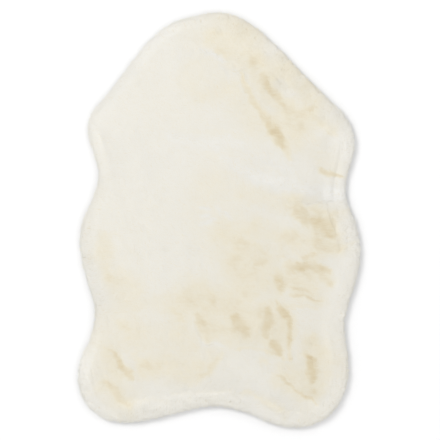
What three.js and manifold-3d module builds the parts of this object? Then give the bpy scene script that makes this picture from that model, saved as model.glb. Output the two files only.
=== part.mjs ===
// Shag rug cut to the outline of a sheepskin: one piece of dense plush pile on a knitted
// ground, lying flat on the floor. Millimetres, +Z up. The origin is on the floor under the
// middle of the rug, and +Y runs up the length to the crown.

import * as THREE from "three";
import { mergeVertices } from "three/addons/utils/BufferGeometryUtils.js";
import Module from "manifold-3d";

const wasm = await Module();
wasm.setup();

// Driving dimensions
const PILE_HEIGHT = 22; // from the floor to the top of the level pile
const RIM_ROLL = 42; // width of the band where the pile rolls down to the rim
const LOCK_COUNT = 252;
const LOCK_REACH = 9; // how far the rim locks stand out past the slab
const LOCK_ROOT = 6; // how deep they are rooted in it
const LOCK_WIDTH = 11.5;
const LOCK_THICKNESS = 6;
const LOCK_FULLNESS = 1.6; // above 0 the locks are fuller than a plain spike
const LOCK_UNEVENNESS = 0.12; // the share by which their lengths differ either way
const LOCK_SWAY = 2.5; // how far their tips turn to either side
const CELLS_ACROSS = 32;
const CELLS_ALONG = 44;
const CELL_EASE = 1.25; // above 1 the cells of the slab crowd towards its rim
const MERGE_DISTANCE = 1e-4;

// The outline over the tips of the rim locks, anticlockwise from the crown
const OUTLINE = [
  { part: "crown", x: -14, y: 450 },
  { part: "left brow", x: -72, y: 441 },
  { part: "left brow", x: -122, y: 424 },
  { part: "left slope", x: -168, y: 385 },
  { part: "left slope", x: -214, y: 324 },
  { part: "left slope", x: -257, y: 264 },
  { part: "left shoulder", x: -291, y: 220 },
  { part: "left shoulder", x: -299, y: 187 },
  { part: "left shoulder", x: -289, y: 148 },
  { part: "left waist", x: -270, y: 84 },
  { part: "left flank", x: -283, y: 34 },
  { part: "left flank", x: -302, y: -14 },
  { part: "left flank", x: -307, y: -64 },
  { part: "left flank", x: -297, y: -118 },
  { part: "left loin", x: -268, y: -210 },
  { part: "left haunch", x: -278, y: -266 },
  { part: "left haunch", x: -298, y: -312 },
  { part: "left haunch", x: -302, y: -356 },
  { part: "left haunch", x: -287, y: -405 },
  { part: "left foot", x: -253, y: -438 },
  { part: "left foot", x: -203, y: -450 },
  { part: "left foot", x: -138, y: -441 },
  { part: "tail notch", x: -70, y: -423 },
  { part: "tail notch", x: -6, y: -408 },
  { part: "tail notch", x: 60, y: -418 },
  { part: "right foot", x: 118, y: -441 },
  { part: "right foot", x: 178, y: -450 },
  { part: "right foot", x: 236, y: -432 },
  { part: "right haunch", x: 273, y: -390 },
  { part: "right haunch", x: 289, y: -333 },
  { part: "right loin", x: 284, y: -272 },
  { part: "right loin", x: 277, y: -224 },
  { part: "right loin", x: 285, y: -174 },
  { part: "right flank", x: 301, y: -118 },
  { part: "right flank", x: 307, y: -58 },
  { part: "right flank", x: 295, y: 0 },
  { part: "right waist", x: 275, y: 46 },
  { part: "right waist", x: 270, y: 78 },
  { part: "right shoulder", x: 279, y: 120 },
  { part: "right shoulder", x: 288, y: 162 },
  { part: "right shoulder", x: 284, y: 197 },
  { part: "right shoulder", x: 262, y: 236 },
  { part: "right slope", x: 222, y: 274 },
  { part: "right slope", x: 170, y: 322 },
  { part: "right slope", x: 115, y: 376 },
  { part: "right brow", x: 66, y: 418 },
  { part: "right brow", x: 28, y: 440 },
];

// The rim from the sole up to the pile, each row set in from the slab's fullest line
const RIM_SECTION = [
  { inset: 11, height: -3 },
  { inset: 1, height: 6 },
  { inset: 0, height: 11 },
  { inset: 5, height: 16 },
];

// Where the pile is brushed up into ridges or parted into furrows, as strokes down the length
const BRUSH_MARKS = [
  { mark: "crown ridge", from: [-48, 376], to: [16, 330], width: 17, lift: 3 },
  { mark: "crown ridge", from: [16, 330], to: [82, 258], width: 13, lift: 3 },
  { mark: "crown parting", from: [52, 322], to: [136, 172], width: 15, lift: -5 },
  { mark: "slope parting", from: [104, 344], to: [138, 240], width: 12, lift: -3.5 },
  { mark: "shoulder hollow", from: [158, 250], to: [220, 196], width: 22, lift: -3 },
  { mark: "waist swath", from: [-90, 172], to: [40, 128], width: 30, lift: 3 },
  { mark: "waist swath", from: [40, 128], to: [250, 52], width: 30, lift: 4 },
  { mark: "flank hollow", from: [176, 26], to: [236, -18], width: 26, lift: -5 },
  { mark: "flank parting", from: [144, -96], to: [226, -104], width: 18, lift: -4 },
  { mark: "flank parting", from: [128, -138], to: [132, -150], width: 16, lift: -3.5 },
  { mark: "loin parting", from: [132, -182], to: [144, -296], width: 14, lift: -4 },
  { mark: "loin hollow", from: [32, -212], to: [42, -240], width: 24, lift: -3.5 },
  { mark: "tail ridge", from: [-48, -214], to: [-30, -268], width: 15, lift: 3 },
  { mark: "tail ridge", from: [-30, -268], to: [20, -272], width: 16, lift: 3 },
  { mark: "tail mound", from: [30, -316], to: [90, -322], width: 42, lift: 3.5 },
  { mark: "haunch hollow", from: [206, -282], to: [224, -334], width: 21, lift: -5 },
  { mark: "haunch parting", from: [124, -336], to: [208, -388], width: 13, lift: -4 },
  { mark: "foot parting", from: [-220, -286], to: [-184, -342], width: 17, lift: -4 },
  { mark: "foot parting", from: [-236, -352], to: [-184, -396], width: 20, lift: -3.5 },
  { mark: "left hollow", from: [-246, -60], to: [-206, -166], width: 44, lift: -2.5 },
  { mark: "tail roll", from: [-200, -398], to: [-8, -372], width: 11, lift: -2.5 },
  { mark: "tail roll", from: [-8, -372], to: [92, -388], width: 11, lift: -2.5 },
];

// The slow unevenness of the lying pile: length of each wave, its run from +X, and its height
const SWELLS = [
  { wave: 210, run: 0.4, height: 1.1 },
  { wave: 128, run: 2.1, height: 0.9 },
  { wave: 83, run: 1.2, height: 0.7 },
];

const outline = new THREE.CatmullRomCurve3(
  OUTLINE.map(({ x, y }) => new THREE.Vector3(x, y, 0)),
  true,
  "centripetal",
);
outline.arcLengthDivisions = 1200;

// The point at a share of the way round from the crown, so many millimetres in from the outline
function rimPoint(turn, inset) {
  const share = THREE.MathUtils.euclideanModulo(turn, 1);
  const along = outline.getTangentAt(share);
  const inwards = new THREE.Vector3(-along.y, along.x, 0);
  return outline.getPointAt(share).addScaledVector(inwards, inset);
}

const strokes = BRUSH_MARKS.map(({ from, to, width, lift }) => ({
  line: new THREE.Line3(new THREE.Vector3(...from, 0), new THREE.Vector3(...to, 0)),
  width,
  lift,
}));

// How far the pile stands above or below its level height
function relief(x, y) {
  const here = new THREE.Vector3(x, y, 0);
  const nearest = new THREE.Vector3();
  let lift = 0;
  for (const stroke of strokes) {
    stroke.line.closestPointToPoint(here, true, nearest);
    lift += stroke.lift * Math.exp(-((nearest.distanceTo(here) / stroke.width) ** 2));
  }
  for (const { wave, run, height } of SWELLS) {
    const phase = (x * Math.cos(run) + y * Math.sin(run)) / wave;
    lift += height * Math.sin(2 * Math.PI * phase + run);
  }
  return lift;
}

// A geometry as a solid
function solidOf(geometry) {
  geometry.deleteAttribute("normal");
  geometry.deleteAttribute("uv");
  const merged = mergeVertices(geometry, MERGE_DISTANCE);
  return new wasm.Manifold(
    new wasm.Mesh({
      numProp: 3,
      vertProperties: merged.attributes.position.array,
      triVerts: new Uint32Array(merged.index.array),
    }),
  );
}

function geometryOf(solid) {
  const { vertProperties, triVerts } = solid.getMesh();
  const geometry = new THREE.BufferGeometry();
  geometry.setAttribute("position", new THREE.BufferAttribute(vertProperties, 3));
  geometry.setIndex(new THREE.BufferAttribute(triVerts, 1));
  return geometry;
}

// The slab: a flat box of cells drawn out to the outline, lumpy on top and rolled at its rim,
// then cut level where it lies on the floor
function makeSlab() {
  const rimSteps = RIM_SECTION.length - 1;
  const box = new THREE.BoxGeometry(2, 2, 2, CELLS_ACROSS, CELLS_ALONG, rimSteps);
  const points = box.attributes.position;
  const rimTop = RIM_SECTION[rimSteps];
  const eased = (share) => Math.sign(share) * (1 - (1 - Math.abs(share)) ** CELL_EASE);
  for (let i = 0; i < points.count; i += 1) {
    const across = eased(points.getX(i));
    const along = eased(points.getY(i));
    const discX = across * Math.sqrt(1 - along ** 2 / 2);
    const discY = along * Math.sqrt(1 - across ** 2 / 2);
    const share = Math.hypot(discX, discY);
    const turn = Math.atan2(-discX, discY) / (2 * Math.PI);
    const step = Math.round(((points.getZ(i) + 1) / 2) * rimSteps);
    const rim = RIM_SECTION[step];
    const edge = rimPoint(turn, LOCK_REACH + rim.inset);
    const fromRim = edge.length() * (1 - share);
    const here = edge.multiplyScalar(share);
    if (step < rimSteps) {
      points.setXYZ(i, here.x, here.y, rim.height);
      continue;
    }
    const rolled = Math.sin((Math.PI / 2) * Math.min(1, fromRim / RIM_ROLL));
    const height = THREE.MathUtils.lerp(rimTop.height, PILE_HEIGHT, rolled);
    points.setXYZ(i, here.x, here.y, height + rolled * relief(here.x, here.y));
  }
  return solidOf(box).trimByPlane([0, 0, 1], 0);
}

// The locks leave the rim in two rows by turns, and droop from root to tip
const LOCK_ROWS = [
  { row: "lower", rootHeight: 6, droop: 4 },
  { row: "upper", rootHeight: 9.5, droop: 5 },
];

// A lock of pile: a three-sided spike, full in the middle and swayed a little to one side
function makeLock(index) {
  const chance = (kind) => 2 * THREE.MathUtils.seededRandom(index * 7 + kind) - 1;
  const { rootHeight, droop } = LOCK_ROWS[index % LOCK_ROWS.length];
  const turn = index / LOCK_COUNT;
  const root = rimPoint(turn, LOCK_REACH + LOCK_ROOT);
  const outwards = rimPoint(turn, 0).sub(root);
  const length = (LOCK_ROOT + LOCK_REACH) * (1 + LOCK_UNEVENNESS * chance(1));
  const sway = LOCK_SWAY * chance(2);

  const lock = new THREE.ConeGeometry(1 / Math.sqrt(3), 1, 3, 2);
  lock.translate(0, 0.5, 0);
  const points = lock.attributes.position;
  for (let i = 0; i < points.count; i += 1) {
    const share = points.getY(i);
    const fullness = 1 + LOCK_FULLNESS * share * (1 - share);
    const side = points.getX(i) * LOCK_WIDTH * fullness + sway * share ** 2;
    const rise = points.getZ(i) * LOCK_THICKNESS * fullness - droop * share ** 2;
    points.setXYZ(i, side, share * length, rise);
  }
  lock.rotateZ(Math.atan2(outwards.y, outwards.x) - Math.PI / 2);
  lock.translate(root.x, root.y, rootHeight);
  return solidOf(lock);
}

function makeRug() {
  const locks = Array.from({ length: LOCK_COUNT }, (_, index) => makeLock(index));
  const rug = wasm.Manifold.union([makeSlab(), ...locks]);
  const { min, max } = rug.boundingBox();
  const centred = rug.translate(-(min[0] + max[0]) / 2, -(min[1] + max[1]) / 2, 0);
  const pile = new THREE.MeshStandardMaterial({ color: 0xece7d6, roughness: 0.95, metalness: 0 });
  const mesh = new THREE.Mesh(geometryOf(centred), pile);
  mesh.name = "rug";
  return mesh;
}

const model = new THREE.Group();
model.add(makeRug());

export default model;
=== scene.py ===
"""A shag rug cut to the outline of a sheepskin: its ground cloth, and the dense plush on it.

Lengths are in metres. The rug lies on the floor at z = 0 with its length along Y and its crown
at +Y. Its outline and the height of its pile come from the frame.
"""

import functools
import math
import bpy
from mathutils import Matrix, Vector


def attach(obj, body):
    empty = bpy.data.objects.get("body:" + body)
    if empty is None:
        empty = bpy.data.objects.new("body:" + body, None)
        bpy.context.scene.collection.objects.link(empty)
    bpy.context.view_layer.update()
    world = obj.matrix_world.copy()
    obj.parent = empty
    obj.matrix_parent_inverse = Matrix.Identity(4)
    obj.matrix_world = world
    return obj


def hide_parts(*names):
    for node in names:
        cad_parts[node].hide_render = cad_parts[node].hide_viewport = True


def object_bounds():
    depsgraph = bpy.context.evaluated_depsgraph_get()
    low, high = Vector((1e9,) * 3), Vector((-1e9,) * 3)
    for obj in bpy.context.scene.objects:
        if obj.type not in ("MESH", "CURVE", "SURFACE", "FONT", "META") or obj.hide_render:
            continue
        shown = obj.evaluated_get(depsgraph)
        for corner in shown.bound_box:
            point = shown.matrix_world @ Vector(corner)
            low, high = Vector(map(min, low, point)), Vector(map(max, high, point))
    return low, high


bl_info = {
    "name": "Sheepskin-Cut Shag Rug",
    "version": (1, 0, 0),
    "blender": (4, 5, 0),
    "location": "3D View > Sidebar > Shag Rug",
    "description": "Makes a cream shag rug with its cloth, its plush pile and its rim",
    "category": "Add Mesh",
}

import bmesh
import bpy
import numpy as np
from mathutils import Vector
from mathutils.bvhtree import BVHTree

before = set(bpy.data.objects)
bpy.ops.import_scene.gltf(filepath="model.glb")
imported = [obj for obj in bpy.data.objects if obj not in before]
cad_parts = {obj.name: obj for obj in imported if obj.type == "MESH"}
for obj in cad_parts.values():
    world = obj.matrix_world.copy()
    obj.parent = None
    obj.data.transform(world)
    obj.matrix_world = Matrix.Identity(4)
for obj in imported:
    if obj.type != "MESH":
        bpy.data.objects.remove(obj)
CAD_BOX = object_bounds()

MM = 0.001
RUG_NODE = "rug"

# Corners closer than this are one, and nothing is divided by a length under the least
WELD = 1e-6
LEAST_LENGTH = 1e-12

# Where each run of chance starts: for the places and for the locks of the fur and of the rim, for
# the nap's drift, the raggedness of the marks and the blotches
FUR_SEEDS = (11, 21)
RIM_SEEDS = (12, 31)
NAP_SEED = 23
RAGGED_SEED = 50
BLOTCH_SEED = 70

# The photograph: its side, the middle of the rug in it, its scale and the turn of the rug
PHOTO_SIDE_PX = 440
RUG_MIDDLE_PX = (220.9, 219.4)
METRES_PER_PX = 2.16 * MM
RUG_TURN = math.radians(1.75)

# The grid on which the rug's shape is read, how many of its places are measured at a time, and
# from how high up
GRID_PITCH = 2.5 * MM
GRID_MARGIN = 24 * MM
HEIGHT_SMOOTHINGS = 8
PLACES_AT_A_TIME = 4096
READ_FROM = 1.0

# The flat sole of the solid, and its edge, the cloth's cut edge, drawn smooth with this many
# points and waves
SOLE_FACING = -0.999
SOLE_HEIGHT = 0.1 * MM
EDGE_POINTS = 900
EDGE_WAVES = 44

# The rim of the rug: where the frame's top is clear of rim locks, and its plain roll there
RIM_CLEAR = 14 * MM
RIM_TOP = 16 * MM
RIM_SHELF = 2.7 * MM
RIM_ROLL = 42 * MM

# Broad washes of painted shade, a warmer and darker tone where the pile opens and shows more
# of its roots, in millimetres
WASHES = [
    # name, from x, from y, to x, to y, width, warmth
    ("crown", -20, 392, 50, 368, 38, 0.14),
    ("crown", 30, 332, 72, 344, 22, 0.07),
    ("shoulder blade", -76, 326, -70, 256, 28, 0.09),
    ("shoulder blade", -40, 262, -6, 276, 26, 0.10),
    ("slope", 70, 338, 126, 244, 34, 0.18),
    ("slope", 22, 268, 74, 192, 32, 0.11),
    ("slope", 146, 226, 196, 212, 32, 0.18),
    ("slope", 120, 340, 186, 256, 26, 0.16),
    ("slope", 108, 206, 158, 164, 26, 0.14),
    ("shoulder", 200, 244, 236, 206, 15, 0.12),
    ("middle", -24, 62, 12, -60, 64, 0.09),
    ("belly", 40, 58, 140, 34, 22, 0.12),
    ("belly", 2, -26, 60, -24, 34, 0.10),
    ("belly", 80, -12, 150, -34, 30, 0.10),
    ("belly", 56, -54, 124, -74, 34, 0.14),
    ("belly", 48, -98, 110, -130, 52, 0.20),
    ("belly", -24, -176, 70, -206, 60, 0.19),
    ("belly", -64, -142, -76, -236, 44, 0.08),
    ("flank", 160, 40, 236, 12, 32, 0.20),
    ("flank", 152, -46, 226, -60, 40, 0.18),
    ("flank", 214, -24, 252, -54, 26, 0.16),
    ("flank", 150, -128, 206, -160, 34, 0.20),
    ("loin", 108, -200, 132, -276, 32, 0.14),
    ("loin", 128, -164, 146, -226, 22, 0.06),
    ("loin", 148, -190, 166, -250, 18, 0.12),
    ("flank", 186, -100, 232, -122, 26, 0.14),
    ("loin", 0, -250, 90, -262, 24, 0.10),
    ("left belly", -218, -138, -172, -192, 38, 0.14),
    ("left belly", -126, -186, -66, -176, 32, 0.12),
    ("left belly", -170, -252, -58, -282, 46, 0.13),
    ("left belly", -150, -326, -44, -330, 30, 0.18),
    ("left flank", -250, -52, -240, -128, 20, 0.14),
    ("left foot", -236, -370, -188, -394, 24, 0.14),
    ("left foot", -238, -286, -210, -336, 24, 0.10),
    ("tail", -8, -296, -20, -334, 20, 0.10),
    ("tail", -36, -224, -14, -262, 22, 0.12),
    ("haunch", 214, -262, 228, -360, 34, 0.20),
    ("haunch", 136, -344, 214, -374, 24, 0.16),
    ("haunch", 148, -318, 184, -330, 20, 0.10),
    ("right foot", 66, -370, 150, -402, 12, 0.06),
    ("crown", -70, 384, 60, 382, 46, 0.07),
    ("crown", -40, 330, 24, 300, 46, 0.05),
    ("left foot", -214, -230, -196, -380, 58, 0.08),
    ("shoulder", 176, 196, 240, 120, 30, 0.08),
    ("haunch", 126, -246, 196, -396, 46, 0.05),
]

# Marks of the hand and the brush, in millimetres. Shade and highlight above 0 paint shade, a warmer
# and darker tone where the pile parts to its tan roots. Below 0 they paint a highlight, a lighter
# and cooler tone along ridges and swaths. Lift raises or sinks the tips. Parting turns the locks
# away from the mark's line, or towards it below 0. Comb lays them along it.
MARKS = [
    # name, from x, from y, to x, to y, width, warmth, lift, parting, comb
    ("crown spot", 64, 342, 100, 346, 12, 0.04, -0.5, 0.2, 0),
    ("crown spot", -20, 362, -4, 350, 8, 0.12, -0.6, 0.4, 0),
    ("crown ridge", -52, 366, -4, 338, 9, -0.14, 1.4, -0.6, 0),
    ("crown ridge", -12, 326, 14, 302, 7, -0.06, 1.2, -0.6, 0),
    ("crown ridge", 16, 318, 66, 256, 6, -0.04, 1.4, -0.6, 0),
    ("crown parting", 34, 312, 62, 262, 6, 0.24, -1.2, 0.8, 0),
    ("crown parting", 62, 262, 98, 206, 8, 0.26, -1.4, 0.9, 0),
    ("crown parting", 98, 206, 138, 160, 12, 0.28, -1.6, 0.8, 0),
    ("crown parting", 138, 160, 152, 138, 8, 0.20, -1.0, 0.7, 0),
    ("slope parting", 88, 314, 100, 292, 9, 0.22, -1.0, 0.5, 0),
    ("slope parting", 100, 292, 130, 244, 6, 0.20, -1.2, 0.8, 0),
    ("slope", 122, 298, 140, 268, 12, -0.16, 0.8, 0, 0.4),
    ("slope", 132, 330, 150, 312, 10, 0.08, -0.8, 0.4, 0),
    ("slope", 158, 300, 174, 280, 9, 0.08, -0.6, 0.4, 0),
    ("slope", 152, 236, 192, 240, 9, 0.12, -1.0, 0.6, 0),
    ("slope", 184, 206, 206, 196, 14, -0.08, 0.5, 0, 0),
    ("shoulder", 212, 120, 242, 106, 6, 0.28, -1.0, 0.7, 0),
    ("shoulder", 224, 200, 244, 194, 4, 0.10, -0.8, 0.6, 0),
    ("swath", -104, 176, 0, 152, 18, -0.08, 0.9, -0.4, 0.5),
    ("swath", 0, 172, 66, 136, 10, -0.08, 0.9, -0.6, 0.5),
    ("swath", 66, 136, 160, 108, 10, -0.08, 0.9, -0.5, 0.5),
    ("swath", 8, 126, 74, 92, 12, -0.10, 1.2, -0.6, 0.5),
    ("swath", 74, 92, 236, 62, 14, -0.12, 1.4, -0.5, 0.5),
    ("swath fold", -60, 196, 40, 176, 5, 0.04, -0.8, 0.5, 0),
    ("swath fold", -40, 142, 30, 116, 5, 0.04, -0.8, 0.5, 0),
    ("swath fold", 40, 150, 120, 118, 5, 0.04, -0.8, 0.5, 0),
    ("swath edge", -14, 108, 42, 76, 5, 0.02, -0.9, 0.6, 0),
    ("swath edge", 42, 76, 104, 56, 5, 0.03, -0.9, 0.6, 0),
    ("swath edge", 104, 56, 176, 50, 5, 0.04, -0.9, 0.6, 0),
    ("star", -44, 28, -20, 20, 5, -0.16, 1.6, -0.7, 0),
    ("star", -42, 10, -24, 8, 5, -0.16, 1.6, -0.7, 0),
    ("star", -40, -6, -14, -2, 5, -0.16, 1.6, -0.7, 0),
    ("star", -8, 32, -2, 8, 5, -0.14, 1.4, -0.7, 0),
    ("star", 4, 16, 26, 8, 5, -0.14, 1.4, -0.7, 0),
    ("flank", 166, 36, 190, 6, 13, 0.18, -0.8, 0.3, 0),
    ("flank", 206, 8, 246, -22, 15, 0.32, -1.4, 0.5, 0),
    ("flank", 204, 40, 226, 30, 12, 0.10, -0.6, 0.3, 0),
    ("flank arc", 228, -60, 256, -62, 4, 0.08, -1.2, 0.9, 0),
    ("flank arc", 256, -62, 274, -38, 4, 0.08, -1.2, 0.9, 0),
    ("flank ridge", 184, 46, 252, 50, 6, -0.10, 1.2, -0.6, 0),
    ("flank", 150, -98, 232, -104, 12, 0.30, -1.2, 0.4, 0),
    ("flank", 178, -78, 214, -72, 6, 0.18, -1.0, 0.6, 0),
    ("flank", 216, -112, 240, -128, 8, 0.20, -0.8, 0.4, 0),
    ("flank", 128, -134, 138, -154, 11, 0.30, -1.2, 0.4, 0),
    ("flank tick", 150, -150, 206, -158, 3, 0.14, -0.8, 0.5, 0),
    ("flank tick", 158, -166, 220, -168, 3, 0.18, -0.8, 0.5, 0),
    ("flank tick", 150, -184, 212, -190, 3, 0.12, -0.8, 0.5, 0),
    ("flank", 52, -48, 78, -58, 9, 0.10, -0.6, 0.4, 0),
    ("flank", 76, -96, 104, -90, 7, 0.10, -0.8, 0.5, 0),
    ("belly", 92, -56, 144, -66, 14, -0.08, 0.6, 0, 0),
    ("belly", -20, -154, -8, -180, 9, 0.12, -0.8, 0.4, 0),
    ("belly ridge", -66, -112, -40, -122, 6, -0.04, 1.0, -0.5, 0),
    ("loin", 42, -212, 62, -244, 15, 0.26, -1.0, 0.3, 0),
    ("loin", 112, -200, 106, -246, 10, 0.20, -0.8, 0.4, 0),
    ("loin parting", 130, -180, 150, -208, 8, 0.24, -1.2, 0.7, 0),
    ("loin parting", 150, -208, 162, -294, 5, 0.28, -1.4, 0.9, 0),
    ("loin", 122, -258, 138, -286, 10, 0.24, -1.0, 0.3, 0),
    ("loin edge", 52, -274, 166, -298, 4, 0.16, -1.4, 0.9, 0),
    ("tail ridge", -52, -218, -26, -272, 5, -0.10, 1.6, -0.8, 0),
    ("tail ridge", -26, -276, 14, -270, 5, -0.12, 1.6, -0.8, 0),
    ("tail", -38, -216, -20, -262, 9, 0.14, -1.0, 0.4, 0),
    ("tail", -92, -206, -78, -228, 9, 0.10, -0.6, 0.3, 0),
    ("tail crescent", 14, -292, -12, -330, 8, 0.14, -1.0, 0.4, 0),
    ("tail crescent", -12, -330, -58, -358, 7, 0.10, -0.8, 0.4, 0),
    ("tail", 94, -306, 114, -312, 9, 0.12, -0.4, 0.2, 0),
    ("left flank ring", -250, -40, -226, -30, 4, 0.06, -1.0, 0.7, 0),
    ("left flank ring", -226, -30, -206, -52, 4, 0.04, -1.0, 0.7, 0),
    ("left line", -204, -62, -104, -176, 4, 0.04, -0.9, 0.6, 0),
    ("left foot", -226, -292, -210, -316, 8, 0.18, -1.0, 0.4, 0),
    ("left foot", -210, -316, -182, -344, 9, 0.26, -1.2, 0.5, 0),
    ("left foot ridge", -196, -292, -176, -318, 8, -0.06, 1.0, -0.4, 0),
    ("left foot", -170, -298, -116, -344, 7, 0.08, -0.8, 0.5, 0),
    ("left foot", -236, -366, -188, -398, 11, 0.14, -1.0, 0.4, 0),
    ("left foot", -212, -232, -196, -242, 10, 0.12, -0.6, 0.3, 0),
    ("haunch parting", 138, -336, 176, -362, 4, 0.22, -1.6, 0.9, 0),
    ("haunch parting", 176, -362, 220, -394, 4, 0.26, -1.6, 0.9, 0),
    ("haunch", 204, -292, 214, -338, 15, 0.30, -1.4, 0.4, 0),
    ("haunch", 216, -298, 220, -322, 8, 0.18, -0.8, 0.3, 0),
    ("haunch", 212, -242, 222, -262, 9, 0.04, -0.6, 0.3, 0),
    ("right foot", 62, -370, 108, -388, 4, 0.12, -1.2, 0.8, 0),
    ("right foot", 108, -388, 158, -410, 6, 0.10, -1.2, 0.7, 0),
    ("tail roll", -196, -402, -104, -394, 5, 0.04, -1.2, 0.3, 0),
    ("tail roll", -98, -374, 26, -366, 4, 0.04, -1.2, 0.3, 0),
    ("tail roll", 26, -366, 66, -380, 4, 0.04, -1.2, 0.3, 0),
]

# What a mark does: how far a lift of 1 raises the tips, and how strongly it turns the locks
MARK_DEPTH = 0.4 * MM
MARK_TURN = 0.6

# How ragged washes and marks are: the size of the swells, and how far they push an edge. They are
# this much slimmer at their ends.
RAGGED = ((38 * MM, 8 * MM), (15 * MM, 4 * MM), (6 * MM, 2 * MM))
TAPER = 0.3

# Blotches in the painted shade and highlight: how long across the rug and how wide they are, and
# how strong
BLOTCHES = ((34 * MM, 20 * MM, 0.18), (12 * MM, 7 * MM, 0.16))

# Swells and tufts come from a square of this many knots a side, which repeats. Swells are read
# from this knot on.
KNOTS = 64
SWELL_START = 1000

# The fur is planted in bands across the rug, each a piece of its own, from the tail to the crown
FUR_BANDS = ("fur_haunches", "fur_loin", "fur_belly", "fur_shoulders", "fur_crown")

# The ground: the cloth, and the body of dense underfur on it, which rolls out past the cut edge.
# The roll is fullest at its low height, and its top reaches in over the cloth.
CLOTH_THICKNESS = 2 * MM
BODY_FOOT = 1.5 * MM
BODY_OUT = 7.7 * MM
BODY_LOW = 10 * MM
ROLL_WIDE = 25 * MM
ROLL_DEPTH = ROLL_WIDE - BODY_OUT

# Their cells across and along the rug, and how much the cells crowd towards the edge
CLOTH_CELLS = (64, 96, 1)
UNDERFUR_CELLS = (126, 180, 2)

# The fur of the roll: how far under it starts, in how many steps its section is measured, how
# close the locks stand beside those of the top, and how far the fur of the top reaches over it
ROLL_LOWEST = math.radians(-80)
ROLL_STEPS = 64
ROLL_SPACING = 0.955
ROLL_OVERLAP = 2.5 * MM

# The nap turns to lie out at the rim, and swirls round where it would lie in
NAP_FADE = 100 * MM
SWIRL = 1.2
NAP_WEAK = 0.35
NAP_DRIFT = math.radians(26)
NAP_SWELL = 90 * MM

# The most by which a tip leaves its grid, as a share of the spacing, and the tries at its root
JITTER = 0.36
ROOT_TRIES = 5

# How unlike one another the locks and the tufts are
NAP_STRAY = math.radians(16)
STRAY_SWELL = 14 * MM
TUFT_STRAY = math.radians(26)
TUFT_PLACE = (0.15, 0.85)
LENGTH_STRAY = 0.035
LENGTH_DRIFT = 0.10
LENGTH_SWELL = 22 * MM
TUFT_LENGTH = 0.06
WIDTH_STRAY = 0.3

# Round the rim the locks are wider and less even, droop until the roll turns under, and sway. The
# tips, and the rest of each lock, stay this far over the floor.
RIM_FADE = 34 * MM
RIM_STRAY = 0.10
RIM_WIDTH = 0.4
RIM_TUFT_LENGTH = 0.25
DROOP = 0.6
DROOP_FADE = 0.5
SWAY = 0.7
SWAY_STRAY = 0.12
TIP_CLEAR = 0.6 * MM
FLOOR_CLEAR = 0.3 * MM

# A lock has a left and a right root, a ridge and a tip, and four faces that close it. The last
# face is its underside, which has a facing of its own after those of the four corners.
LOCK_FACES = ((0, 1, 2), (1, 3, 2), (3, 0, 2), (0, 3, 1))
FACINGS = (0, 1, 2, 1, 3, 2, 3, 0, 2, 4, 4, 4)
RIDGE_PLACE = 0.45
RIDGE_HEIGHT = 0.35
RIDGE_LEAN = 0.35

# How the pile faces: soft over its relief on top, as the roll does low down, and back from the nap
RELIEF_FACING = 0.35
RIM_FACING = -0.15
SOFT_ABOVE = 0.75
BACK_FACING = 0.15
SIDE_FACING = 0.3
RIDGE_FACING = 0.3
TIP_FACING = 0.15
UNDER_FACING = 0.7

# The tone of the pile, from 0 cool to 1 tan, and its place in the map. Its lowest stop is a painted
# highlight, and its two highest stops are painted shade.
PATTERN_MAP = "OFBake"
TONE_STOPS = (0.02, 0.13, 0.4, 0.7, 1.0)
BASE_TONE = 0.20
TONE_DRIFT = 0.03
TONE_SWELL = 120 * MM
RIM_COOL = 0.05
RIM_TONE = 26 * MM
TONE_STRAY = 0.012
TUFT_TONE = 0.02
TONE_STEP = 0.006
TONE_ENDS = (0.02, 0.99)

# The painted shade and highlight are streaked across the rug, by how much, and how long and slim
# the streaks are
STREAKS = 0.16
STREAK_LENGTH = 9 * MM
STREAK_SLIMNESS = 3

# Locks are painted darker and warmer at the root, as shade deep in the pile, up to this share of
# their height
ROOT_SHADE = (0.97, 0.94, 0.88)
ROOT_SHARE = 0.6

# The knit: from rib to rib and from row to row. A wave texture of scale 1 has this many waves in
# a length of two pi.
RIB_PITCH = 1.6 * MM
ROW_PITCH = 1.2 * MM
WAVES_A_TURN = 20

# The studio. The photograph's scale holds at this share of the rug's height.
FLOOR_DROP = 0.1 * MM
FLOOR_SIZE = 40.0
WORLD_LIGHT = 1.02
KEY_PLACE = (-3.2, 2.2, 3.9)
KEY_SIZE = 2.2
KEY_POWER = 100.0
CAMERA_LENS = 113.6
SENSOR_WIDTH = 36.0
SCALE_HEIGHT = 0.8


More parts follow.
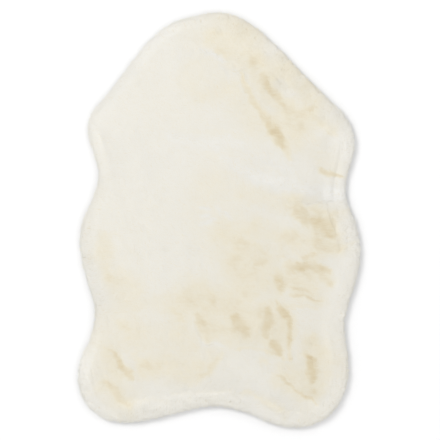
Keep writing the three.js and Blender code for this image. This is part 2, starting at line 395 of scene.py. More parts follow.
class RugSettings(bpy.types.PropertyGroup):
    """What a user would change about the rug."""

    pile_depth: bpy.props.FloatProperty(
        name="Pile Depth",
        description="How deep the open tips of the pile are",
        default=2.8 * MM,
        min=0.0,
        subtype="DISTANCE",
        unit="LENGTH",
    )
    rim_depth: bpy.props.FloatProperty(
        name="Rim Depth",
        description="How deep the open tips are round the rim",
        default=5.5 * MM,
        min=0.0,
        subtype="DISTANCE",
        unit="LENGTH",
    )
    lean: bpy.props.FloatProperty(
        name="Lean",
        description="How far the tips lie over in the way of the nap",
        default=6.5 * MM,
        min=0.0,
        subtype="DISTANCE",
        unit="LENGTH",
    )
    nap: bpy.props.FloatProperty(
        name="Nap",
        description="The way the nap lies, from +X",
        default=math.radians(138),
        subtype="ANGLE",
        unit="ROTATION",
    )
    spacing: bpy.props.FloatProperty(
        name="Lock Spacing",
        description="The distance from one lock to the next",
        default=1.66 * MM,
        min=0.5 * MM,
        subtype="DISTANCE",
        unit="LENGTH",
    )
    lock_width: bpy.props.FloatProperty(
        name="Lock Width",
        description="The width of a lock at its root",
        default=2.5 * MM,
        min=0.1 * MM,
        subtype="DISTANCE",
        unit="LENGTH",
    )
    tuft: bpy.props.FloatProperty(
        name="Tuft",
        description="The distance between the tufts in which locks come together",
        default=8 * MM,
        min=1 * MM,
        subtype="DISTANCE",
        unit="LENGTH",
    )
    gathering: bpy.props.FloatProperty(
        name="Gathering",
        description="How much the tips of a tuft come together",
        default=0.09,
        min=0.0,
        max=1.0,
        subtype="FACTOR",
    )
    # Painted highlight: the lightest, coolest tone of the pile, where it is combed flat and catches
    # the light
    bright: bpy.props.FloatVectorProperty(
        name="Bright",
        description="The pile where it is combed flat",
        default=(0.915, 0.908, 0.874),
        min=0.0,
        max=1.0,
        subtype="COLOR",
    )
    white: bpy.props.FloatVectorProperty(
        name="White",
        description="The coolest of the open pile",
        default=(0.880, 0.867, 0.820),
        min=0.0,
        max=1.0,
        subtype="COLOR",
    )
    cream: bpy.props.FloatVectorProperty(
        name="Cream",
        description="The pile where it is a little warm",
        default=(0.872, 0.829, 0.706),
        min=0.0,
        max=1.0,
        subtype="COLOR",
    )
    # Straw and tan are painted shade: the darker, warmer tones where the pile is brushed open or
    # parted
    straw: bpy.props.FloatVectorProperty(
        name="Straw",
        description="The pile where it is brushed open",
        default=(0.775, 0.690, 0.505),
        min=0.0,
        max=1.0,
        subtype="COLOR",
    )
    tan: bpy.props.FloatVectorProperty(
        name="Tan",
        description="The darkest partings",
        default=(0.660, 0.535, 0.340),
        min=0.0,
        max=1.0,
        subtype="COLOR",
    )
    floor_colour: bpy.props.FloatVectorProperty(
        name="Floor",
        description="The plain pale floor",
        default=(0.845, 0.845, 0.845),
        min=0.0,
        max=1.0,
        subtype="COLOR",
    )


def eased(share):
    """A share from 0 to 1, slow at both ends."""
    share = np.clip(share, 0, 1)
    return share * share * (3 - 2 * share)


def unit(vectors):
    """Vectors of length 1 the same way."""
    return vectors / np.maximum(np.linalg.norm(vectors, axis=1, keepdims=True), LEAST_LENGTH)


def drift(x, y, scale, seed):
    """Smooth unevenness from -1 to 1, whose swells are about scale across."""
    knots = np.random.default_rng(seed).uniform(-1, 1, (KNOTS, KNOTS))
    u, v = x / scale + SWELL_START, y / scale + SWELL_START
    i, j = np.floor(u).astype(int), np.floor(v).astype(int)
    fu, fv = eased(u - i), eased(v - j)
    i, j, after_i, after_j = (k % KNOTS for k in (i, j, i + 1, j + 1))
    low = knots[i, j] * (1 - fu) + knots[after_i, j] * fu
    high = knots[i, after_j] * (1 - fu) + knots[after_i, after_j] * fu
    return low * (1 - fv) + high * fv


class RugShape:
    """The rug's outline and heights, read from the frame's solid on an even grid."""

    def __init__(self):
        solid = bmesh.new()
        solid.from_mesh(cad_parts[RUG_NODE].data)
        bmesh.ops.remove_doubles(solid, verts=solid.verts, dist=WELD)
        solid.normal_update()
        self.edge = self.cut_edge(solid)
        low, high = CAD_BOX
        self.low = np.array(low)[:2] - GRID_MARGIN
        span = np.array(high)[:2] + GRID_MARGIN - self.low
        count = np.ceil(span / GRID_PITCH).astype(int) + 1
        x, y = np.meshgrid(
            *(self.low[k] + GRID_PITCH * np.arange(count[k]) for k in (0, 1)),
            indexing="ij",
        )
        self.read_edge(x, y)
        self.height = self.read_height(solid, x, y)
        self.slope_x, self.slope_y = np.gradient(self.height, GRID_PITCH)
        self.read_strokes(x, y)
        solid.free()

    def cut_edge(self, solid):
        """The cut edge of the cloth, where the flat sole ends, anticlockwise from the crown."""
        sole = {
            f
            for f in solid.faces
            if f.normal.z < SOLE_FACING and f.calc_center_median().z < SOLE_HEIGHT
        }
        beside = {}
        for e in solid.edges:
            if len(sole.intersection(e.link_faces)) == 1:
                a, b = e.verts
                beside.setdefault(a, []).append(b)
                beside.setdefault(b, []).append(a)
        first = max(beside, key=lambda v: v.co.y)
        loop, last = [first], None
        while True:
            following = next(v for v in beside[loop[-1]] if v is not last)
            if following is first:
                break
            last = loop[-1]
            loop.append(following)
        points = np.array([v.co.x + 1j * v.co.y for v in loop])
        if (points.conj() * np.roll(points, -1)).imag.sum() < 0:
            points = np.roll(points[::-1], 1)
        closed = np.append(points, points[0])
        along = np.insert(np.cumsum(abs(np.diff(closed))), 0, 0)
        even = np.linspace(0, along[-1], EDGE_POINTS, endpoint=False)
        waves = np.fft.fft(np.interp(even, along, closed))
        waves[EDGE_WAVES:-EDGE_WAVES] = 0
        return np.fft.ifft(waves)

    def read_edge(self, x, y):
        """How far each place is in from the cut edge, and the way out of the rug there."""
        ahead = np.roll(self.edge, -1) - np.roll(self.edge, 1)
        outwards = -1j * ahead / abs(ahead)
        places = (x + 1j * y).ravel()
        nearest = np.empty(len(places), int)
        for k in range(0, len(places), PLACES_AT_A_TIME):
            chosen = slice(k, k + PLACES_AT_A_TIME)
            nearest[chosen] = abs(places[chosen, None] - self.edge[None, :]).argmin(1)
        away = places - self.edge[nearest]
        out = outwards[nearest]
        beyond = np.sign((away * out.conj()).real)
        self.inset = (-beyond * abs(away)).reshape(x.shape)
        self.out_x, self.out_y = out.real.reshape(x.shape), out.imag.reshape(x.shape)

    def read_height(self, solid, x, y):
        """The top of the pile over each place."""
        rolled = np.sin(math.pi / 2 * np.clip((self.inset + RIM_SHELF) / RIM_ROLL, 0, 1))
        tree = BVHTree.FromBMesh(solid)
        level = np.median([v.co.z for v in solid.verts if v.co.z > RIM_TOP])
        height = RIM_TOP + (level - RIM_TOP) * rolled
        down = Vector((0, 0, -1))
        for i, j in zip(*np.nonzero(self.inset > RIM_CLEAR)):
            hit = tree.ray_cast(Vector((x[i, j], y[i, j], READ_FROM)), down)[0]
            height[i, j] = hit.z
        for _ in range(HEIGHT_SMOOTHINGS):
            around = sum(np.roll(height, by, axis) for axis in (0, 1) for by in (1, -1))
            height = (height + around) / 5
        return height

    def read_strokes(self, x, y):
        """What the washes and marks together do to the painted shade and highlight, the lift and
        the turn of the nap.
        """
        place = x + 1j * y
        for k, (scale, by) in enumerate(RAGGED):
            seed = RAGGED_SEED + 2 * k
            place = place + by * (drift(x, y, scale, seed) + 1j * drift(x, y, scale, seed + 1))
        washes = ((f"wash {k}", *wash[1:], 0, 0, 0) for k, wash in enumerate(WASHES))
        nearest, strokes = {}, {}
        for name, x0, y0, x1, y1, width, warmth, lift, parting, comb in (*washes, *MARKS):
            start, end = (x0 + 1j * y0) * MM, (x1 + 1j * y1) * MM
            way = (end - start) / max(abs(end - start), WELD)
            off = (place - start) * way.conjugate()
            along = np.clip(off.real, 0, abs(end - start))
            slender = 1 - TAPER * abs(2 * along / max(abs(end - start), WELD) - 1) ** 2
            gap = (off - along) / (width * slender * MM)
            near = np.exp(-(abs(gap) ** 3))
            turn = (parting * gap + comb) * MARK_TURN * way
            stroke = near * np.stack([warmth + 0 * turn, lift * MARK_DEPTH + 0 * turn, turn])
            nearer = near > nearest.get(name, 0)
            nearest[name] = np.where(nearer, near, nearest.get(name, 0))
            strokes[name] = np.where(nearer, stroke, strokes.get(name, 0))
        warmth, lift, turn = sum(strokes.values())
        self.warmth, self.lift = warmth.real, lift.real
        self.turn_x, self.turn_y = turn.real, turn.imag

        # The painted shade and highlight are blotchy
        for k, (long, wide, by) in enumerate(BLOTCHES):
            self.warmth *= 1 + by * drift(x, y * long / wide, long, BLOTCH_SEED + k)

    def at(self, name, x, y):
        """One of the grids, read at any places."""
        grid = getattr(self, name)
        u, v = (x - self.low[0]) / GRID_PITCH, (y - self.low[1]) / GRID_PITCH
        i = np.clip(np.floor(u).astype(int), 0, grid.shape[0] - 2)
        j = np.clip(np.floor(v).astype(int), 0, grid.shape[1] - 2)
        fu, fv = np.clip(u - i, 0, 1), np.clip(v - j, 0, 1)
        low = grid[i, j] * (1 - fu) + grid[i + 1, j] * fu
        high = grid[i, j + 1] * (1 - fu) + grid[i + 1, j + 1] * fu
        return low * (1 - fv) + high * fv


@functools.cache
def rug_shape():
    """The rug's shape, read once for all the pieces."""
    return RugShape()


def body(settings, shape, x, y):
    """The underfur's surface over each place of the cloth, and the way off it.

    In from the cut edge by less than the roll's depth, a place stands for one round the roll: from
    its foot at the edge, past its fullest line, up to its top.
    """
    inset = shape.at("inset", x, y)
    angle = np.pi * (np.clip(inset / ROLL_DEPTH, 0, 1) - 0.5)
    out = unit(np.stack([shape.at("out_x", x, y), shape.at("out_y", x, y), 0 * x], 1))
    slope = np.stack([-shape.at("slope_x", x, y), -shape.at("slope_y", x, y), 0 * x + 1], 1)
    upper = angle > 0
    wide = np.where(upper, ROLL_WIDE, BODY_OUT)
    full = shape.at("height", x, y) - settings.pile_depth
    tall = np.where(upper, full - BODY_LOW, BODY_LOW - CLOTH_THICKNESS)
    rolled = wide * (1 - np.cos(angle)) - BODY_OUT
    moved = out * np.where(inset < ROLL_DEPTH, inset - rolled, 0)[:, None]
    places = np.stack([x, y, BODY_LOW + tall * np.sin(angle)], 1) + moved
    away = out * (tall * np.cos(angle))[:, None] + unit(slope) * (wide * np.sin(angle))[:, None]
    return places, unit(away), out, slope


def nap_at(settings, shape, x, y, out):
    """The way the nap lies at each place, in the plane of the floor."""
    near_rim = (1 - eased(shape.at("inset", x, y) / NAP_FADE))[:, None]
    turned = settings.nap + NAP_DRIFT * drift(x, y, NAP_SWELL, NAP_SEED)
    nap = np.stack([np.cos(turned), np.sin(turned), 0 * x], 1)
    across = np.stack([-nap[:, 1], nap[:, 0], 0 * x], 1)
    opposed = (1 - (nap * out).sum(1, keepdims=True)) / 2
    swirl = SWIRL * 4 * near_rim * (1 - near_rim) * opposed
    nap = nap * (1 - near_rim) + across * swirl + out * near_rim
    nap /= np.sqrt((nap**2).sum(1, keepdims=True) + NAP_WEAK**2)

    # Marks part and comb it
    nap[:, 0] += shape.at("turn_x", x, y)
    nap[:, 1] += shape.at("turn_y", x, y)
    return nap


def pile_reach(settings, inset):
    """The length of the open tips off the underfur: a little more round the rim."""
    rim = 1 - eased(inset / RIM_FADE)
    return settings.pile_depth + (settings.rim_depth - settings.pile_depth) * rim


def plant(settings, shape, seed):
    """Places in from the roll, whose tips make a hexagonal grid moved a little at random."""
    rng = np.random.default_rng(seed)
    spacing = settings.spacing
    rows = spacing * math.sqrt(3) / 2
    span_x, span_y = -2 * shape.low
    x, y = np.meshgrid(
        np.arange(-span_x / 2, span_x / 2, spacing), np.arange(-span_y / 2, span_y / 2, rows)
    )
    x[1::2] += spacing / 2
    x = (x + rng.uniform(-JITTER, JITTER, x.shape) * spacing).ravel()
    y = (y + rng.uniform(-JITTER, JITTER, y.shape) * spacing).ravel()
    inside = shape.at("inset", x, y) > 0
    x, y = x[inside], y[inside]

    # The roots are worked back from the tips
    root_x, root_y = x, y
    for _ in range(ROOT_TRIES):
        _, away, out, _ = body(settings, shape, root_x, root_y)
        nap = nap_at(settings, shape, root_x, root_y, out)
        nap -= away * (nap * away).sum(1, keepdims=True)
        root_x, root_y = x - nap[:, 0] * settings.lean, y - nap[:, 1] * settings.lean
    inside = shape.at("inset", root_x, root_y) > ROLL_DEPTH - ROLL_OVERLAP
    return root_x[inside], root_y[inside]


def plant_roll(settings, shape, seed):
    """Places round the roll, spread evenly over it."""
    rng = np.random.default_rng(seed)
    closed = np.append(shape.edge, shape.edge[0])
    along = np.insert(np.cumsum(abs(np.diff(closed))), 0, 0)

    # The lengths round the section of the roll
    angles = np.linspace(ROLL_LOWEST, math.pi / 2, ROLL_STEPS + 1)
    full = CAD_BOX[1][2] - settings.pile_depth
    tall = np.where(angles > 0, full - BODY_LOW, BODY_LOW)
    wide = np.where(angles > 0, ROLL_WIDE, BODY_OUT)
    steps = np.hypot(wide * np.sin(angles), tall * np.cos(angles))[1:] * np.diff(angles)
    round_roll = np.insert(np.cumsum(steps), 0, 0)

    count = int(along[-1] * round_roll[-1] / (ROLL_SPACING * settings.spacing) ** 2)
    at = rng.uniform(0, along[-1], count)
    points = np.interp(at, along, closed)
    ahead = np.interp((at + MM) % along[-1], along, closed) - points
    angle = np.interp(rng.uniform(0, round_roll[-1], count), round_roll, angles)
    inset = ROLL_DEPTH * (angle / np.pi + 0.5)
    places = points + 1j * ahead / np.maximum(abs(ahead), WELD) * inset
    return places.real, places.imag


def tufts(x, y, size, seed):
    """The middle of the tuft that each lock is in, and the tuft's own number from 0 to 1."""
    rng = np.random.default_rng(seed)
    square = (KNOTS, KNOTS)
    shift = rng.uniform(*TUFT_PLACE, square) + 1j * rng.uniform(*TUFT_PLACE, square)
    number = rng.uniform(0, 1, square)
    i, j = np.floor(x / size).astype(int), np.floor(y / size).astype(int)
    place = x + 1j * y
    best, nearest, own = np.full(len(x), np.inf), np.zeros(len(x), complex), np.zeros(len(x))
    for di in (-1, 0, 1):
        for dj in (-1, 0, 1):
            a, b = i + di, j + dj
            knot = (a % KNOTS, b % KNOTS)
            middle = (a + 1j * b + shift[knot]) * size
            closer = abs(place - middle) < best
            best[closer] = abs(place - middle)[closer]
            nearest[closer] = middle[closer]
            own[closer] = number[knot][closer]
    return nearest, own


def lock_facing(outer, side, above):
    """How each lock faces at its four corners and on its underside, for its shading.

    The corners face as the pile as a whole does and a little to their own side, so that the pile
    shades softly. The underside faces down.
    """
    corners = (
        outer - SIDE_FACING * side,
        outer + SIDE_FACING * side,
        outer + RIDGE_FACING * above,
        outer + TIP_FACING * above,
    )
    underside = outer * UNDER_FACING - above
    return np.stack([unit(way) for way in (*corners, underside)], 1)


def lock_pattern(tone):
    """The place of each lock's corners in the map: its tone along, and its height up."""
    tones = (tone - TONE_STEP, tone + TONE_STEP, tone, tone)
    heights = (0, 0, RIDGE_PLACE, 1)
    rows = [np.stack([t, np.full(len(t), h)], 1) for t, h in zip(tones, heights)]
    return np.stack(rows, 1)


def grow(settings, shape, x, y, seed):
    """Locks from the places given: their corners, facings and pattern places."""
    rng = np.random.default_rng(seed)
    inset = shape.at("inset", x, y)
    at_rim = 1 - eased(inset / RIM_FADE)
    root, normal, out, slope = body(settings, shape, x, y)
    middle, own = tufts(x, y, settings.tuft, seed + 1)

    # Each lock strays a little from the nap
    nap = nap_at(settings, shape, x, y, out)
    astray = NAP_STRAY * (drift(x, y, STRAY_SWELL, seed + 3) + rng.normal(0, 0.5, len(x)))
    astray = (astray + TUFT_STRAY * (own - 0.5))[:, None]
    nap = nap * np.cos(astray) + np.stack([-nap[:, 1], nap[:, 0], 0 * x], 1) * np.sin(astray)
    nap -= normal * (nap * normal).sum(1, keepdims=True)

    # Round the rim the locks droop towards the floor and sway along it, tuft by tuft
    up = np.array([0.0, 0.0, 1.0])
    downhill = normal * normal[:, 2:] - up
    nap += DROOP * downhill * eased(normal[:, 2:] / DROOP_FADE + 1)
    sway = SWAY * (own - 0.5) + SWAY_STRAY * rng.normal(0, 1, len(x))
    nap += np.cross(downhill, normal) * sway[:, None]

    # Root to tip: off the ground, over with the nap and in to the middle of the tuft
    length = 1 + (LENGTH_STRAY + RIM_STRAY * at_rim) * rng.normal(0, 1, len(x))
    length = length + LENGTH_DRIFT * drift(x, y, LENGTH_SWELL, seed + 4)
    length = length + (TUFT_LENGTH + RIM_TUFT_LENGTH * at_rim) * (own - 0.5)
    deep = pile_reach(settings, inset) * length + shape.at("lift", x, y)
    gather = np.stack([middle.real - x, middle.imag - y, 0 * x], 1) * settings.gathering
    reach = normal * deep[:, None] + nap * (settings.lean * length)[:, None] + gather
    tip = root + reach
    tip[:, 2] = np.maximum(tip[:, 2], TIP_CLEAR)
    reach = tip - root

    # The section of the lock, which is widest at its root and ridged along its upper side
    forward = unit(reach)
    above = normal - RIDGE_LEAN * unit(nap)
    above = unit(above - forward * (above * forward).sum(1, keepdims=True))
    side = np.cross(forward, above)
    width = settings.lock_width * (1 + WIDTH_STRAY * rng.uniform(-1, 1, len(x)))
    width = width * (1 + RIM_WIDTH * at_rim)
    half = side * (width / 2)[:, None]
    ridge = root + reach * RIDGE_PLACE + above * (width * RIDGE_HEIGHT)[:, None]
    corners = np.stack([root - half, root + half, ridge, tip], 1)
    corners[:, :, 2] = np.maximum(corners[:, :, 2], FLOOR_CLEAR)

    # The pile as a whole faces up over its slopes, out round the rim, and back from the nap
    soft = unit(slope * (RELIEF_FACING, RELIEF_FACING, 1) + normal * RIM_FACING)
    outer = unit(normal + (soft - normal) * eased(normal[:, 2:] / SOFT_ABOVE))
    outer = unit(outer - BACK_FACING * nap)

    # Tone: cool at the rim, with painted shade and highlight where the washes and marks are, and
    # streaked across there
    streaks = drift(x, STREAK_SLIMNESS * y, STREAK_LENGTH, seed + 6)
    warmth = shape.at("warmth", x, y) * (1 + STREAKS * streaks)
    tone = BASE_TONE + TONE_DRIFT * drift(x, y, TONE_SWELL, seed + 5) + warmth
    tone = tone - RIM_COOL * (1 - eased(inset / RIM_TONE))
    tone = tone + TONE_STRAY * rng.normal(0, 1, len(x)) + TUFT_TONE * (own - 0.5)
    return corners, lock_facing(outer, side, above), lock_pattern(np.clip(tone, *TONE_ENDS))


def join_locks(name, locks, material):
    """One mesh of many closed locks of four faces each."""
    corners, facing, pattern = locks
    count = len(corners)
    faces = (np.array(LOCK_FACES)[None] + 4 * np.arange(count)[:, None, None]).reshape(-1)
    mesh = bpy.data.meshes.new(name)
    mesh.vertices.add(4 * count)
    mesh.vertices.foreach_set("co", corners.reshape(-1).astype(np.float32))
    mesh.loops.add(len(faces))
    mesh.loops.foreach_set("vertex_index", faces.astype(np.int32))
    mesh.polygons.add(len(faces) // 3)
    mesh.polygons.foreach_set("loop_start", np.arange(0, len(faces), 3, dtype=np.int32))
    mesh.update(calc_edges=True)
    mesh.polygons.foreach_set("use_smooth", np.ones(len(faces) // 3, bool))
    places = mesh.uv_layers.new(name=PATTERN_MAP)
    places.data.foreach_set("uv", pattern.reshape(-1, 2)[faces].reshape(-1).astype(np.float32))
    mesh.materials.append(material)
    mesh.normals_split_custom_set(facing[:, FACINGS].reshape(-1, 3))
    return add_piece(mesh)


def add_piece(mesh):
    """An object for a finished mesh, which rides on the rug's body in place of its solid."""
    piece = bpy.data.objects.new(mesh.name, mesh)
    bpy.context.scene.collection.objects.link(piece)
    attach(piece, "root")
    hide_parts(RUG_NODE)
    return piece


def cut_to_outline(shape, across, along, crowding):
    """A bmesh grid stretched over the outline, its rows crowded towards the edge."""
    cloth = bmesh.new()
    bmesh.ops.create_grid(cloth, x_segments=across, y_segments=along, size=1.0)
    closed = np.append(shape.edge, shape.edge[0])
    turns = np.linspace(0, 1, len(closed))
    for v in cloth.verts:
        u, w = v.co.x, v.co.y
        round_u = u * math.sqrt(1 - w * w / 2)
        round_w = w * math.sqrt(1 - u * u / 2)
        share = math.hypot(round_u, round_w)
        turn = math.atan2(round_w, round_u) / (2 * math.pi) - 0.25
        place = np.interp(turn % 1, turns, closed)
        place *= 1 - (1 - min(share, 1)) ** crowding
        v.co = (place.real, place.imag, 0)
    return cloth


def finish_bmesh(name, form, material, smooth=True):
    """A mesh piece from a bmesh, with its faces outward."""
    bmesh.ops.recalc_face_normals(form, faces=form.faces)
    mesh = bpy.data.meshes.new(name)
    form.to_mesh(mesh)
    form.free()
    for face in mesh.polygons:
        face.use_smooth = smooth
    mesh.materials.append(material)
    return add_piece(mesh)


def declare_cloth(shape):
    """The area inside the cloth's cut edge, worked out and not used."""
    edge = shape.edge
    area = float((edge.conj() * np.roll(edge, -1)).imag.sum() / 2)


class Nodes:
    """A short way to write a material's nodes."""

    def __init__(self, name):
        self.material = bpy.data.materials.new(name)
        self.material.use_nodes = True
        self.tree = self.material.node_tree
        self.shader = self.tree.nodes["Principled BSDF"]

    def add(self, kind, inputs=(), **settings):
        """A node, with its settings, and its inputs as (socket, value or output) pairs."""
        node = self.tree.nodes.new(kind)
        for name, value in settings.items():
            setattr(node, name, value)
        for socket, value in inputs:
            self.put(node, socket, value)
        return node

    def put(self, node, socket, value):
        """Set a socket, or link it where the value is an output."""
        if isinstance(value, bpy.types.NodeSocket):
            self.tree.links.new(value, node.inputs[socket])
        else:
            node.inputs[socket].default_value = value

    def ramp(self, source, stops):
        """A colour ramp from (position, colour) stops."""
        node = self.add("ShaderNodeValToRGB", [("Fac", source)])
        elements = node.color_ramp.elements
        while len(elements) < len(stops):
            elements.new(0.5)
        for element, (position, colour) in zip(elements, stops):
            element.position = position
            element.color = (*colour, 1)
        return node.outputs["Color"]


def shade(colour, factor):
    """A colour with each part multiplied."""
    return tuple(min(1.0, part * by) for part, by in zip(colour, factor))


def pile_material(settings):
    """The plush: its tone runs along the map's U, and V is 0 at a lock's root and 1 at its tip."""
    pile = Nodes("plush_pile")
    place = pile.add("ShaderNodeUVMap", uv_map=PATTERN_MAP)
    axes = pile.add("ShaderNodeSeparateXYZ", [("Vector", place.outputs["UV"])])
    colours = (settings.bright, settings.white, settings.cream, settings.straw, settings.tan)
    stops = list(zip(TONE_STOPS, colours))
    tips = pile.ramp(axes.outputs["X"], stops)
    # Towards the root each tone is painted darker and warmer, as shade deep in the pile
    shaded_root_stops = [(at, shade(colour, ROOT_SHADE)) for at, colour in stops]
    roots = pile.ramp(axes.outputs["X"], shaded_root_stops)
    height = pile.add(
        "ShaderNodeMapRange",
        [("Value", axes.outputs["Y"]), ("From Min", 0.0), ("From Max", ROOT_SHARE)],
        interpolation_type="SMOOTHSTEP",
    )
    mixed = pile.add("ShaderNodeMix", data_type="RGBA")
    pile.put(mixed, 0, height.outputs["Result"])
    pile.put(mixed, 6, roots)
    pile.put(mixed, 7, tips)
    pile.put(pile.shader, "Base Color", mixed.outputs[2])
    pile.put(pile.shader, "Roughness", 0.95)
    pile.put(pile.shader, "Specular IOR Level", 0.2)
    pile.put(pile.shader, "Sheen Weight", 0.25)
    pile.put(pile.shader, "Sheen Roughness", 0.5)
    return pile.material


@functools.cache
def shared_pile():
    """The one pile material that all the fur takes."""
    return pile_material(bpy.context.scene.rug_settings)


def underfur_material(settings):
    """The short dense fibre at the roots, uneven in tone: random patches of cream and of cream
    painted darker as the roots' shade.
    """
    fibre = Nodes("underfur")
    place = fibre.add("ShaderNodeTexCoord")
    noise = fibre.add(
        "ShaderNodeTexNoise",
        [("Vector", place.outputs["Object"]), ("Scale", 260.0), ("Detail", 4.0)],
    )
    # The darker stop is the roots' painted shade
    stops = [(0.3, shade(settings.cream, ROOT_SHADE)), (0.7, settings.cream)]
    fibre.put(fibre.shader, "Base Color", fibre.ramp(noise.outputs["Fac"], stops))
    fibre.put(fibre.shader, "Roughness", 1.0)
    fibre.put(fibre.shader, "Specular IOR Level", 0.1)
    bump = fibre.add(
        "ShaderNodeBump",
        [("Height", noise.outputs["Fac"]), ("Strength", 0.6), ("Distance", 1 * MM)],
    )
    fibre.put(fibre.shader, "Normal", bump.outputs["Normal"])
    return fibre.material


def knit_material():
    """The knitted ground: fine ribs down the cloth, crossed by its rows of loops."""
    knit = Nodes("knitted_ground")
    place = knit.add("ShaderNodeTexCoord")
    waves = []
    for way, pitch in (("X", RIB_PITCH), ("Y", ROW_PITCH)):
        wave = knit.add(
            "ShaderNodeTexWave",
            [
                ("Vector", place.outputs["Object"]),
                ("Scale", 2 * math.pi / (WAVES_A_TURN * pitch)),
                ("Distortion", 0.6),
                ("Detail Scale", 3.0),
            ],
            bands_direction=way,
        )
        waves.append(wave.outputs["Fac"])
    loops = knit.add("ShaderNodeMath", enumerate(waves), operation="MULTIPLY")
    # The gaps between the loops, where the waves are low, are painted darker as shade
    stops = [(0.0, (0.66, 0.64, 0.58)), (0.6, (0.82, 0.80, 0.74))]
    knit.put(knit.shader, "Base Color", knit.ramp(loops.outputs["Value"], stops))
    knit.put(knit.shader, "Roughness", 0.9)
    knit.put(knit.shader, "Specular IOR Level", 0.2)
    knit.put(knit.shader, "Sheen Weight", 0.15)
    bump = knit.add(
        "ShaderNodeBump",
        [("Height", loops.outputs["Value"]), ("Strength", 0.7), ("Distance", 0.5 * MM)],
    )
    knit.put(knit.shader, "Normal", bump.outputs["Normal"])
    return knit.material


class RUG_OT_ground(bpy.types.Operator):
    """Lay the knitted ground cloth, cut to the outline"""

    bl_idname = "rug.ground"
    bl_label = "Lay Ground Cloth"

    def execute(self, context):
        cloth = cut_to_outline(rug_shape(), *CLOTH_CELLS)
        lifted = bmesh.ops.extrude_face_region(cloth, geom=cloth.faces[:])
        top = [v for v in lifted["geom"] if isinstance(v, bmesh.types.BMVert)]
        bmesh.ops.translate(cloth, vec=(0, 0, CLOTH_THICKNESS), verts=top)
        finish_bmesh("ground_cloth", cloth, knit_material(), smooth=False)
        return {"FINISHED"}


class RUG_OT_underfur(bpy.types.Operator):
    """Raise the dense underfur that closes the pile behind its open tips"""

    bl_idname = "rug.underfur"
    bl_label = "Raise Underfur"

    def execute(self, context):
        settings, shape = context.scene.rug_settings, rug_shape()
        fibre = cut_to_outline(shape, *UNDERFUR_CELLS)
        foot = bmesh.ops.extrude_edge_only(fibre, edges=[e for e in fibre.edges if e.is_boundary])
        foot = {g for g in foot["geom"] if isinstance(g, bmesh.types.BMVert)}
        risen = [v for v in fibre.verts if v not in foot]
        x, y = (np.array([v.co[k] for v in risen]) for k in (0, 1))
        for v, place in zip(risen, body(settings, shape, x, y)[0]):
            v.co = place
        for v in foot:
            v.co.z = BODY_FOOT
        rim = [e for e in fibre.edges if e.is_boundary]
        bmesh.ops.contextual_create(fibre, geom=rim)
        finish_bmesh("underfur", fibre, underfur_material(settings))
        return {"FINISHED"}


class RUG_OT_fur(bpy.types.Operator):
    """Plant the fur in bands across the rug, from the haunches to the crown"""

    bl_idname = "rug.fur"
    bl_label = "Plant Fur"

    def execute(self, context):
        settings, shape = context.scene.rug_settings, rug_shape()
        x, y = plant(settings, shape, FUR_SEEDS[0])
        locks = grow(settings, shape, x, y, FUR_SEEDS[1])
        order = np.argsort(y, kind="stable")
        for name, chosen in zip(FUR_BANDS, np.array_split(order, len(FUR_BANDS))):
            join_locks(name, [part[chosen] for part in locks], shared_pile())
        return {"FINISHED"}


class RUG_OT_rim(bpy.types.Operator):
    bl_idname = "rug.rim"
    bl_label = "Plant Rim"

    def execute(self, context):
        settings, shape = context.scene.rug_settings, rug_shape()
        x, y = plant_roll(settings, shape, RIM_SEEDS[0])
        join_locks("fur_rim", grow(settings, shape, x, y, RIM_SEEDS[1]), shared_pile())
        declare_cloth(shape)
        return {"FINISHED"}


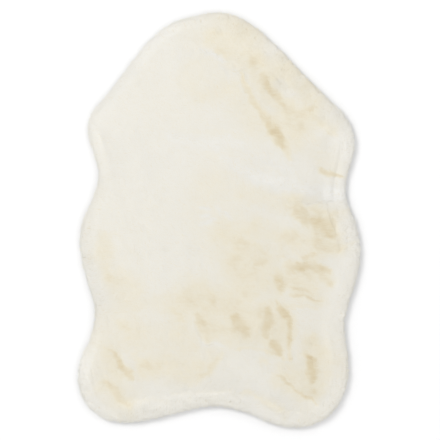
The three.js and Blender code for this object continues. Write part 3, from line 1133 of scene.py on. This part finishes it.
class RUG_OT_stage(bpy.types.Operator):
    """Set the floor, the soft light and the camera of the photograph"""

    bl_idname = "rug.stage"
    bl_label = "Set Stage"

    def execute(self, context):
        settings, scene = context.scene.rug_settings, context.scene
        sheet = bmesh.new()
        bmesh.ops.create_grid(sheet, x_segments=1, y_segments=1, size=FLOOR_SIZE / 2)
        mesh = bpy.data.meshes.new("floor")
        sheet.to_mesh(mesh)
        sheet.free()
        floor = bpy.data.objects.new("floor", mesh)
        floor.location.z = -FLOOR_DROP
        scene.collection.objects.link(floor)
        plain = Nodes("pale_floor")
        plain.put(plain.shader, "Base Color", (*settings.floor_colour, 1))
        plain.put(plain.shader, "Roughness", 0.9)
        plain.put(plain.shader, "Specular IOR Level", 0.1)
        mesh.materials.append(plain.material)

        world = bpy.data.worlds.new("studio")
        world.use_nodes = True
        world.node_tree.nodes["Background"].inputs["Color"].default_value = (1, 1, 1, 1)
        world.node_tree.nodes["Background"].inputs["Strength"].default_value = WORLD_LIGHT
        scene.world = world
        scene.view_settings.view_transform = "Standard"

        lamp = bpy.data.lights.new("key_light", "AREA")
        lamp.shape = "DISK"
        lamp.size = KEY_SIZE
        lamp.energy = KEY_POWER
        key = bpy.data.objects.new("key_light", lamp)
        key.location = KEY_PLACE
        key.rotation_euler = (-Vector(KEY_PLACE)).to_track_quat("-Z", "Y").to_euler()
        scene.collection.objects.link(key)

        lens = bpy.data.cameras.new("camera")
        lens.sensor_width = SENSOR_WIDTH
        lens.lens = CAMERA_LENS
        camera = bpy.data.objects.new("camera", lens)
        frame_width = PHOTO_SIDE_PX * METRES_PER_PX
        right = complex(math.cos(RUG_TURN), math.sin(RUG_TURN))
        off_px = complex(RUG_MIDDLE_PX[0], -RUG_MIDDLE_PX[1]) - PHOTO_SIDE_PX / 2 * (1 - 1j)
        middle = -off_px * METRES_PER_PX * right
        height = CAD_BOX[1][2] * SCALE_HEIGHT + frame_width * CAMERA_LENS / SENSOR_WIDTH
        camera.location = (middle.real, middle.imag, height)
        camera.rotation_euler = (0, 0, RUG_TURN)
        scene.collection.objects.link(camera)
        scene.camera = camera
        return {"FINISHED"}


class RUG_PT_panel(bpy.types.Panel):
    """The rug's settings and the buttons that make it."""

    bl_label = "Shag Rug"
    bl_space_type = "VIEW_3D"
    bl_region_type = "UI"
    bl_category = "Shag Rug"

    def draw(self, context):
        settings = context.scene.rug_settings
        for name in settings.bl_rna.properties.keys():
            if name not in ("rna_type", "name"):
                self.layout.prop(settings, name)
        for operator in OPERATORS:
            self.layout.operator(operator.bl_idname)


OPERATORS = (RUG_OT_ground, RUG_OT_underfur, RUG_OT_fur, RUG_OT_rim, RUG_OT_stage)


def register():
    """Add the settings, the operators and the panel to Blender."""
    for cls in (RugSettings, *OPERATORS, RUG_PT_panel):
        bpy.utils.register_class(cls)
    bpy.types.Scene.rug_settings = bpy.props.PointerProperty(type=RugSettings)


def unregister():
    """Take them out again."""
    del bpy.types.Scene.rug_settings
    for cls in (RUG_PT_panel, *reversed(OPERATORS), RugSettings):
        bpy.utils.unregister_class(cls)


def main():
    """Make the rug and its stage."""
    register()
    bpy.ops.rug.ground()
    bpy.ops.rug.underfur()
    bpy.ops.rug.fur()
    bpy.ops.rug.rim()
    bpy.ops.rug.stage()


if __name__ == "__main__":
    main()
